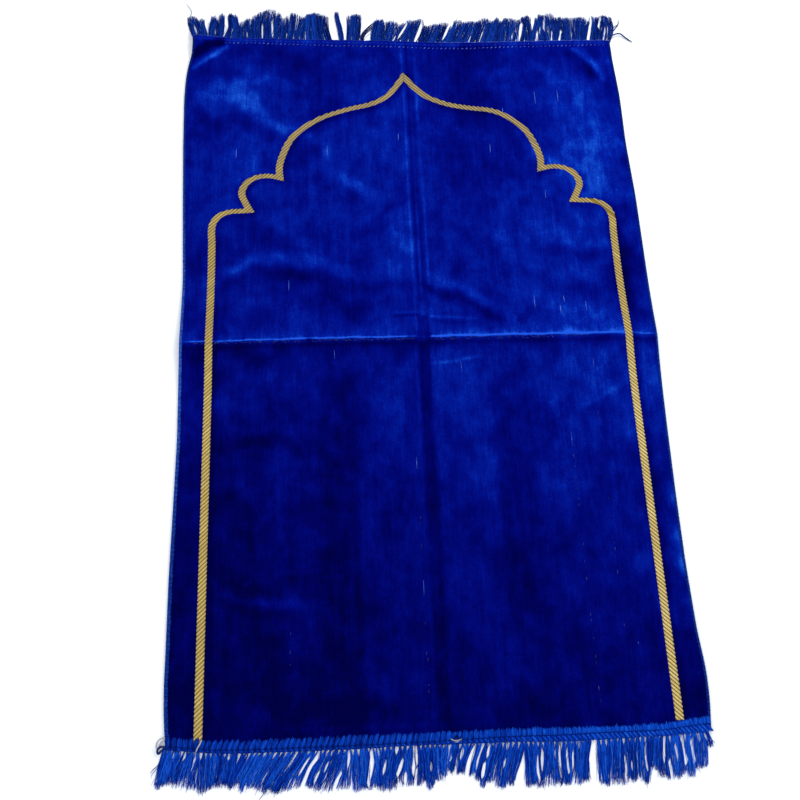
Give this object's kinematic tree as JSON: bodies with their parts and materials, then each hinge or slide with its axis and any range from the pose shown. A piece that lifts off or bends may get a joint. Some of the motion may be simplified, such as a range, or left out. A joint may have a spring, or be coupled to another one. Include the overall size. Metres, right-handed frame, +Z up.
{
  "type": "prayer rug",
  "caption": "Flat velvet prayer rug with a woven arch outline, serged long sides and a fringe along each short end, lying face up on a floor.",
  "frame": {"origin": "on the floor, in the middle of the rug with its fringes", "axes": "+X across the rug to the right, +Y along the rug to the tip of the arch, +Z up, out of the pile"},
  "size_m": [0.7176, 1.2368, 0.0123],
  "materials": {
    "velvet": "short velvet pile, matt with a soft sheen on its folds",
    "gold_twill": "flat woven twill in gold yarn, slightly shiny",
    "serging": "overlocked polyester thread",
    "fringe_yarn": "soft spun yarn, matt"
  },
  "bodies": {
    "root": {"pile_cloth": "velvet", "serged_edge_left": "serging", "serged_edge_right": "serging", "fringe_front": "fringe_yarn", "fringe_back": "fringe_yarn"}
  },
  "joints": []
}
